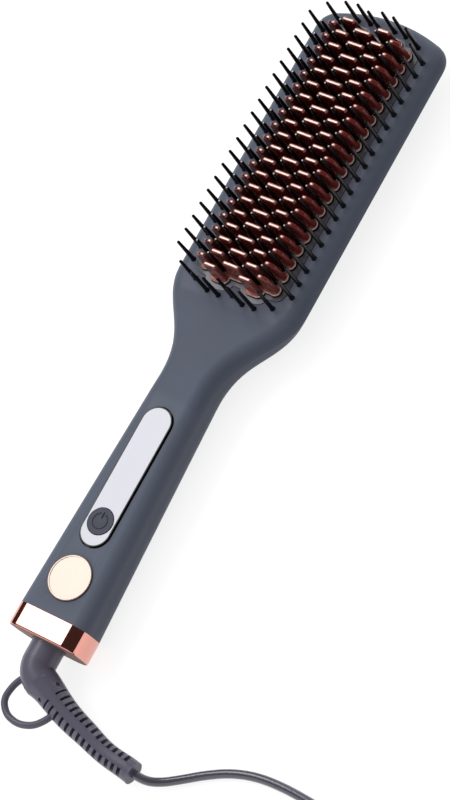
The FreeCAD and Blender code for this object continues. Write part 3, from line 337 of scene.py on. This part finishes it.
slateLook = {
    "dark": "555c6b", "light": "5a6172", "edge": "646a7a", "hollow": "474c5a",
    "grainScale": 2600.0, "roughness": 0.5, "roughDrift": 0.04, "bump": 0.10, "bumpDepth": 0.0002,
    "sockets": {"Specular IOR Level": 0.25, "Sheen Weight": 0.03, "Sheen Roughness": 0.5},
}
copperLook = {
    "node": "heater_plate",
    "dark": "611e1a", "light": "6f2722", "edge": "a8746b", "hollow": "140302",
    "grainScale": 2200.0, "roughness": 0.23, "roughDrift": 0.04, "bump": 0.06, "bumpDepth": 0.0002,
    "bands": [
        {"axis": (1, 0, 0), "start": 0.0100, "full": 0.0088, "above": "823630"},   # right column lighter: painted light
        {"axis": (0, -1, 0), "start": 0.01295, "full": 0.00695, "above": "884a43"},   # fins near the grip lighter: painted light
        {"start": 0.0114, "full": 0.0111, "below": "ffdcd3"},   # painted highlight round the plate's rim
        {"start": 0.0122, "full": 0.0119, "below": "120403"},   # painted shade: a dark line under it
        {"start": 0.00013, "full": 0.0, "above": "e0c2b8"},   # painted highlight on the crests
    ],
    "sockets": {"Metallic": 0.35, "Specular IOR Level": 0.3, "Coat Weight": 0.1, "Coat Roughness": 0.15},
}
bezelLook = {
    "node": "plate_bezel",
    "dark": "5f5e66", "light": "6a6971", "edge": "85848d", "hollow": "2a292e",
    "grainScale": 2400.0, "roughness": 0.34, "roughDrift": 0.05, "bump": 0.06, "bumpDepth": 0.0002,
    "bands": [
        # painted shade: both long sides of the bezel darker
        {"axis": (1, 0, 0), "start": 0.0073, "full": 0.0058, "above": "45444d"},
        {"axis": (-1, 0, 0), "start": 0.0073, "full": 0.0058, "above": "45444d"},
        # painted shade: dark outline at the foot of the bezel
        {"start": 0.00018, "full": 0.00004, "below": "111014"},
    ],
    "sockets": {"Specular IOR Level": 0.5},
}
pinLook = {
    "node": "inner_pins_centre",
    "dark": "060507", "light": "0a090b", "edge": "0f0e10", "hollow": "040304",
    "grainScale": 3000.0, "roughness": 0.26, "roughDrift": 0.04, "bump": 0.04, "bumpDepth": 0.0001,
    # painted highlight: pale pin tips
    "bands": [{"start": 0.00015, "full": 0.00004, "above": "d8d4d4"}],
    "sockets": {"Specular IOR Level": 0.22},
}
windowLook = {
    "node": "display_window",
    "dark": "d8d8e2", "light": "e5e5ee", "edge": "e2e2ec", "hollow": "dcdce6",
    "grainScale": 900.0, "roughness": 0.22, "roughDrift": 0.02, "bump": 0.02, "bumpDepth": 0.0001,
    # painted shade: dark side wall of the window, in the gap round it
    "bands": [{"start": 0.0003, "full": 0.0001, "below": "0b0b0d"}],
    # painted shade: dark border round the window
    "rim": {"lip": 0.0015, "start": 0.00055, "full": 0.0004, "colour": "0b0b0d"},
    "sockets": {"Specular IOR Level": 0.3},
}
buttonLook = {
    "dark": "434653", "light": "494c5a", "edge": "545766", "hollow": "16171c",
    "grainScale": 3200.0, "roughness": 0.38, "roughDrift": 0.04, "bump": 0.06, "bumpDepth": 0.0001,
    "sockets": {"Specular IOR Level": 0.15},
}
bootLook = {
    "dark": "5a5768", "light": "646172", "edge": "737081", "hollow": "0f0d14",
    "grainScale": 2400.0, "roughness": 0.33, "roughDrift": 0.05, "bump": 0.10, "bumpDepth": 0.0002,
    "sockets": {"Specular IOR Level": 0.5},
}
cordLook = {
    "dark": "4a4755", "light": "535060", "edge": "605d6c", "hollow": "34313a",
    "grainScale": 1800.0, "roughness": 0.24, "roughDrift": 0.04, "bump": 0.05, "bumpDepth": 0.0002,
    "sockets": {"Specular IOR Level": 0.55, "Coat Weight": 0.7, "Coat Roughness": 0.12, "Coat IOR": 1.6},
}
ceramicLook = {
    "dark": "e0dbd0", "light": "ece8df", "edge": "f2efe8", "hollow": "b9b2a4",
    "grainScale": 1800.0, "roughness": 0.55, "roughDrift": 0.08, "bump": 0.2, "bumpDepth": 0.0002,
}
micaLook = {
    "dark": "a08a66", "light": "c2ad84", "edge": "cdb992", "hollow": "7d6a4c",
    "grainScale": 1200.0, "roughness": 0.4, "roughDrift": 0.12, "bump": 0.15, "bumpDepth": 0.0003,
}
boardLook = {
    "dark": "15492c", "light": "1b5735", "edge": "3d7352", "hollow": "0d2e1c",
    "grainScale": 2600.0, "roughness": 0.35, "roughDrift": 0.06, "bump": 0.1, "bumpDepth": 0.0001,
}
blackLook = {
    "dark": "19191b", "light": "222224", "edge": "303033", "hollow": "0d0d0e",
    "grainScale": 2400.0, "roughness": 0.5, "roughDrift": 0.06, "bump": 0.15, "bumpDepth": 0.0002,
}
whiteLook = {
    "dark": "dcdcd6", "light": "e8e8e3", "edge": "f0f0ec", "hollow": "b4b4ad",
    "grainScale": 2400.0, "roughness": 0.45, "roughDrift": 0.06, "bump": 0.1, "bumpDepth": 0.0002,
}
leadLook = {
    "dark": "8c1a14", "light": "a3241c", "edge": "b8453c", "hollow": "5a0e0a",
    "grainScale": 2000.0, "roughness": 0.4, "roughDrift": 0.06, "bump": 0.08, "bumpDepth": 0.0002,
}


# Polished or drawn metal with faint streaks, painted shade in hollows; one face can be left unpolished, and
# its darker colour there is painted shade
def metalMaterial(name, look):
    material, tree, shader = freshTree(name)
    streaks = addGroup(tree, streakGroup, Stretch=look["stretch"])
    edges = addGroup(tree, edgeGroup)
    base = mixColours(tree, streaks.outputs["Height"], linear(look["dark"]), linear(look["light"]))
    # concave corners darkened: painted shade
    colour = mixColours(tree, edges.outputs["HollowShade"], base, linear(look["hollow"]))
    gloss = driftRoughness(tree, streaks.outputs["Height"], look)
    shader.inputs["Metallic"].default_value = 1.0
    if "unpolishedShadedFace" in look:
        unpolishedShadedFace = look["unpolishedShadedFace"]
        share = bandShare(tree, look["node"], unpolishedShadedFace)
        # darker colour on the unpolished face: painted shade
        colour = mixColours(tree, share, colour, linear(unpolishedShadedFace["colour"]))
        tree.links.new(mapRange(tree, share, 0.0, 1.0, 1.0, unpolishedShadedFace["metallic"]), shader.inputs["Metallic"])
        coarser = tree.nodes.new("ShaderNodeMath")
        coarser.operation = "MAXIMUM"
        tree.links.new(gloss, coarser.inputs[0])
        tree.links.new(mapRange(tree, share, 0.0, 1.0, 0.0, unpolishedShadedFace["roughness"]), coarser.inputs[1])
        gloss = coarser.outputs[0]
    tree.links.new(colour, shader.inputs["Base Color"])
    tree.links.new(gloss, shader.inputs["Roughness"])
    addBump(tree, shader, streaks.outputs["Height"], look["bump"], look["bumpDepth"])
    return material


roseLook = {
    "node": "end_cap",
    "dark": "e09c8f", "light": "e6a699", "hollow": "8d5a50", "stretch": (900.0, 140.0, 900.0),
    "roughness": 0.07, "roughDrift": 0.02, "bump": 0.02, "bumpDepth": 0.0001,
    # the end face: left unpolished, and darkened as painted shade
    "unpolishedShadedFace": {"axis": (0, -1, 0), "start": 0.0003, "full": 0.00005, "colour": "8a6660", "metallic": 0.0,
             "roughness": 0.6},
}
steelLook = {
    "dark": "a9abae", "light": "bfc1c4", "hollow": "5d5f62", "stretch": (1500.0, 200.0, 1500.0),
    "roughness": 0.32, "roughDrift": 0.06, "bump": 0.05, "bumpDepth": 0.0001,
}
brassLook = {
    "dark": "c39c50", "light": "d4ae62", "hollow": "7a5c26", "stretch": (1500.0, 200.0, 1500.0),
    "roughness": 0.25, "roughDrift": 0.05, "bump": 0.05, "bumpDepth": 0.0001,
}

# Badge: a plain polished disc with fine turned rings
badgeLook = {
    "node": "badge_disc",
    "dark": "c0b0a4", "light": "cdbfb3", "rings": 9000.0, "roughness": 0.26, "metallic": 0.4, "bump": 0.05,
    "bumpDepth": 0.00002,
    "rim": {"start": 0.0006, "full": 0.0003, "colour": "4a2a25"},
}


def badgeMaterial(name, look):
    material, tree, shader = freshTree(name)
    low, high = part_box(look["node"])
    centre = (low + high) / 2
    rings = addGroup(tree, ringGroup, Centre=centre, Rings=look["rings"])
    tone = mapRange(tree, rings.outputs["Height"], -1.0, 1.0, 0.0, 1.0)
    colour = mixColours(tree, tone, linear(look["dark"]), linear(look["light"]))
    colour = paintRim(tree, colour, look)
    tree.links.new(colour, shader.inputs["Base Color"])
    addBump(tree, shader, rings.outputs["Height"], look["bump"], look["bumpDepth"])
    shader.inputs["Roughness"].default_value = look["roughness"]
    shader.inputs["Metallic"].default_value = look["metallic"]
    return material


# Woven strap of the cord tie
tieLook = {
    "dark": "161618", "light": "2b2b2f", "weaveScale": 604.8, "roughness": 0.85, "bump": 0.5,
    "bumpDepth": 0.0002,
}


def tieMaterial(name, look):
    material, tree, shader = freshTree(name)
    place = tree.nodes.new("ShaderNodeTexCoord")
    waves = []
    for direction in ("X", "Z"):
        wave = tree.nodes.new("ShaderNodeTexWave")
        wave.bands_direction = direction
        wave.inputs["Scale"].default_value = look["weaveScale"]
        tree.links.new(place.outputs["Object"], wave.inputs["Vector"])
        waves.append(wave)
    weave = tree.nodes.new("ShaderNodeMath")
    weave.operation = "MAXIMUM"
    tree.links.new(waves[0].outputs["Fac"], weave.inputs[0])
    tree.links.new(waves[1].outputs["Fac"], weave.inputs[1])
    colour = mixColours(tree, weave.outputs[0], linear(look["dark"]), linear(look["light"]))
    tree.links.new(colour, shader.inputs["Base Color"])
    addBump(tree, shader, weave.outputs[0], look["bump"], look["bumpDepth"])
    shader.inputs["Roughness"].default_value = look["roughness"]
    return material


materials = {
    "slate_soft_touch": surfaceMaterial("slateSoftTouch", slateLook),
    "copper_coat": surfaceMaterial("copperCoat", copperLook),
    "bezel_grey": surfaceMaterial("bezelGrey", bezelLook),
    "pin_nylon": surfaceMaterial("pinNylon", pinLook),
    "window_silver": surfaceMaterial("windowSilver", windowLook),
    "button_grey": surfaceMaterial("buttonGrey", buttonLook),
    "rose_gold": metalMaterial("roseGold", roseLook),
    "boot_rubber": surfaceMaterial("bootRubber", bootLook),
    "cord_sheath": surfaceMaterial("cordSheath", cordLook),
    "steel": metalMaterial("plainSteel", steelLook),
    "brass": metalMaterial("plainBrass", brassLook),
    "element_ceramic": surfaceMaterial("elementCeramic", ceramicLook),
    "mica": surfaceMaterial("micaSheet", micaLook),
    "board": surfaceMaterial("boardLaminate", boardLook),
    "black_plastic": surfaceMaterial("blackPlastic", blackLook),
    "white_plastic": surfaceMaterial("whitePlastic", whiteLook),
    "lead_red": surfaceMaterial("leadRed", leadLook),
    "tie_fabric": tieMaterial("tieFabric", tieLook),
}
badgeFinish = badgeMaterial("badgeFinish", badgeLook)


def dressNodes():
    for part in frame["record"]["subparts"]:
        node = frame["nodes"][part["node"]]
        node.data.materials.clear()
        node.data.materials.append(materials[part["material_slot"]])
    badge = frame["nodes"][badgeLook["node"]]
    badge.data.materials.clear()
    badge.data.materials.append(badgeFinish)


dressNodes()
print("nodes dressed")

# Mains cord: boot tip to floor, along the floor, the put-away coil, then up to the plug
cordShape = {
    "radius": 0.0019,
    "lead": (
        (0.05852, -0.17991, 0.00587), (0.06344, -0.18061, 0.00538), (0.0696, -0.1782, 0.0035),
        (0.0766, -0.1733, 0.0024), (0.0846, -0.1675, 0.00195), (0.0945, -0.162, 0.00195),
        (0.1058, -0.1587, 0.00195), (0.1186, -0.1579, 0.00195), (0.1315, -0.1585, 0.00195),
        (0.1415, -0.1595, 0.0022), (0.1534, -0.1604, 0.00305), (0.1652, -0.1604, 0.00305),
    ),
    "coilCentre": (0.169, -0.19, 0.00305),
    "coilRadius": 0.0296,
    "coilPitch": 0.00495,
    "coilLayers": 4,
    "layerQuarters": 11,
    "pointsPerQuarter": 6,
    "tail": (
        (0.1728, -0.1604, 0.0179), (0.185, -0.1604, 0.0176), (0.199, -0.1626, 0.0142),
        (0.21, -0.1696, 0.0108), (0.2154, -0.18, 0.009), (0.2166, -0.19, 0.009),
    ),
    "length": 1.76,
    "splineSteps": 8,
    "roundSteps": 6,
}


# Turns spiral in and out, one layer above the other, climbing where the spiral reverses
def coilPoints(shape):
    centre = Vector(shape["coilCentre"])
    quarters = shape["layerQuarters"]
    last = shape["coilLayers"] * quarters
    parts = shape["pointsPerQuarter"]
    spread = 1 / math.cos(math.pi / (4 * parts))
    points = []
    for i in range(last * parts + 1):
        t = i / parts
        layer = min(int(t / quarters), shape["coilLayers"] - 1)
        step = t - layer * quarters
        inward = step if layer % 2 == 0 else quarters - step
        radius = (shape["coilRadius"] - inward * shape["coilPitch"] / 4) * spread
        rise = float(layer)
        if layer > 0 and step < 1:
            rise = layer - 0.5 + step / 2
        if layer < shape["coilLayers"] - 1 and step > quarters - 1:
            rise = layer + (step - quarters + 1) / 2
        angle = math.pi / 2 - t * math.pi / 2
        points.append(centre + Vector((radius * math.cos(angle), radius * math.sin(angle),
                                       rise * shape["coilPitch"])))
    return points


def addCord(shape):
    route = [Vector(p) for p in shape["lead"]] + coilPoints(shape) + [Vector(p) for p in shape["tail"]]
    curve = bpy.data.curves.new("mainsCord", "CURVE")
    curve.dimensions = "3D"
    spline = curve.splines.new("NURBS")
    spline.points.add(len(route) - 1)
    for point, place in zip(spline.points, route):
        point.co = (*place, 1.0)
    spline.order_u = 3
    spline.use_endpoint_u = True
    spline.resolution_u = shape["splineSteps"]
    curve.bevel_depth = shape["radius"]
    curve.bevel_resolution = shape["roundSteps"]
    curve.use_fill_caps = True
    cord = bpy.data.objects.new("mainsCord", curve)
    scene.collection.objects.link(cord)
    curve.materials.append(materials["cord_sheath"])
    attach(cord, "swivel")
    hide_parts("cord_lead", "cord_coil", "cord_tail")


addCord(cordShape)
print("cord laid")

# Studio: pale floor, one softbox, a sky that is dimmer on the right, and a dark tent that only gloss sees
studio = {
    "floorHalf": 4.0,
    "floorDrop": 0.0002,
    "floorColour": "a6a6a6",
    "floorRoughness": 0.9,
    "floorSpecular": 0.1,
    "floorLift": 0.8,
    "skyLeft": 1.15,
    "skyRight": 0.3,
    "skySeen": 1.0,
    "boxPlace": (-0.617, 0.25, 1.02),
    "boxAim": (0.0, 0.25, 0.0),
    "boxLength": 0.9,
    "boxWidth": 0.45,
    "boxPower": 4.1,
}
tent = {
    "left": -0.95, "right": 0.9, "near": -1.2, "far": 1.5, "low": 0.02, "high": 1.08, "leftHigh": 1.3,
    "holeRight": -0.42, "holeNear": -0.21, "holeFar": 0.71,
    "shade": (0.055, 0.036, 0.034, 1.0),
}


# 1 for rays from the camera and for reflected or transmitted ones
def seenRays(tree):
    path = tree.nodes.new("ShaderNodeLightPath")
    total = path.outputs["Is Camera Ray"]
    for name in ("Is Glossy Ray", "Is Transmission Ray"):
        more = tree.nodes.new("ShaderNodeMath")
        more.operation = "MAXIMUM"
        tree.links.new(total, more.inputs[0])
        tree.links.new(path.outputs[name], more.inputs[1])
        total = more.outputs[0]
    return total


def addFloor(plan):
    half = plan["floorHalf"]
    mesh = bpy.data.meshes.new("paleFloor")
    corners = [(-half, -half, 0), (half, -half, 0), (half, half, 0), (-half, half, 0)]
    mesh.from_pydata(corners, [], [(0, 1, 2, 3)])
    floor = bpy.data.objects.new("paleFloor", mesh)
    floor.location.z = -plan["floorDrop"]
    scene.collection.objects.link(floor)
    material, tree, shader = freshTree("paleFloor")
    shader.inputs["Base Color"].default_value = linear(plan["floorColour"])
    shader.inputs["Roughness"].default_value = plan["floorRoughness"]
    shader.inputs["Specular IOR Level"].default_value = plan["floorSpecular"]
    shader.inputs["Emission Color"].default_value = (1, 1, 1, 1)
    lift = mapRange(tree, seenRays(tree), 0.0, 1.0, 0.0, plan["floorLift"])
    tree.links.new(lift, shader.inputs["Emission Strength"])
    mesh.materials.append(material)


def addSky(plan):
    world = bpy.data.worlds.new("studioSky")
    world.use_nodes = True
    scene.world = world
    tree = world.node_tree
    tree.nodes["Background"].inputs["Color"].default_value = (1, 1, 1, 1)
    place = tree.nodes.new("ShaderNodeTexCoord")
    split = tree.nodes.new("ShaderNodeSeparateXYZ")
    tree.links.new(place.outputs["Generated"], split.inputs[0])
    side = mapRange(tree, split.outputs["X"], -1.0, 1.0, plan["skyLeft"], plan["skyRight"])
    strength = tree.nodes.new("ShaderNodeMix")   # sockets 2 and 3 are its numbers A and B
    tree.links.new(seenRays(tree), strength.inputs["Factor"])
    tree.links.new(side, strength.inputs[2])
    strength.inputs[3].default_value = plan["skySeen"]
    tree.links.new(strength.outputs[0], tree.nodes["Background"].inputs["Strength"])


def addSoftBox(plan):
    data = bpy.data.lights.new("softBox", "AREA")
    data.shape = "RECTANGLE"
    data.size = plan["boxLength"]
    data.size_y = plan["boxWidth"]
    data.energy = plan["boxPower"]
    lamp = bpy.data.objects.new("softBox", data)
    scene.collection.objects.link(lamp)
    lamp.location = plan["boxPlace"]
    aim = Vector(plan["boxAim"]) - Vector(plan["boxPlace"])
    lamp.rotation_euler = aim.to_track_quat("-Z", "Y").to_euler()


# Dark cards, seen only in reflections: both side walls and a ceiling with a hole for the softbox
def addTent(plan):
    left, right, near, far = plan["left"], plan["right"], plan["near"], plan["far"]
    low, high = plan["low"], plan["high"]
    walls = [(left, plan["leftHigh"]), (right, high)]
    sheets = [(plan["holeRight"], right, near, far), (left, plan["holeRight"], near, plan["holeNear"]),
              (left, plan["holeRight"], plan["holeFar"], far)]
    corners = []
    for x, top in walls:
        corners += [(x, near, low), (x, far, low), (x, far, top), (x, near, top)]
    for x0, x1, y0, y1 in sheets:
        corners += [(x0, y0, high), (x1, y0, high), (x1, y1, high), (x0, y1, high)]
    faces = [tuple(range(i, i + 4)) for i in range(0, len(corners), 4)]
    mesh = bpy.data.meshes.new("darkTent")
    mesh.from_pydata(corners, [], faces)
    cards = bpy.data.objects.new("darkTent", mesh)
    scene.collection.objects.link(cards)
    material, tree, shader = freshTree("darkTent")
    shader.inputs["Base Color"].default_value = (0, 0, 0, 1)
    shader.inputs["Specular IOR Level"].default_value = 0.0
    shader.inputs["Emission Color"].default_value = plan["shade"]
    shader.inputs["Emission Strength"].default_value = 1.0
    mesh.materials.append(material)
    cards.visible_camera = False
    cards.visible_diffuse = False
    cards.visible_shadow = False


addFloor(studio)
addSky(studio)
addSoftBox(studio)
addTent(tent)
print("studio lit")
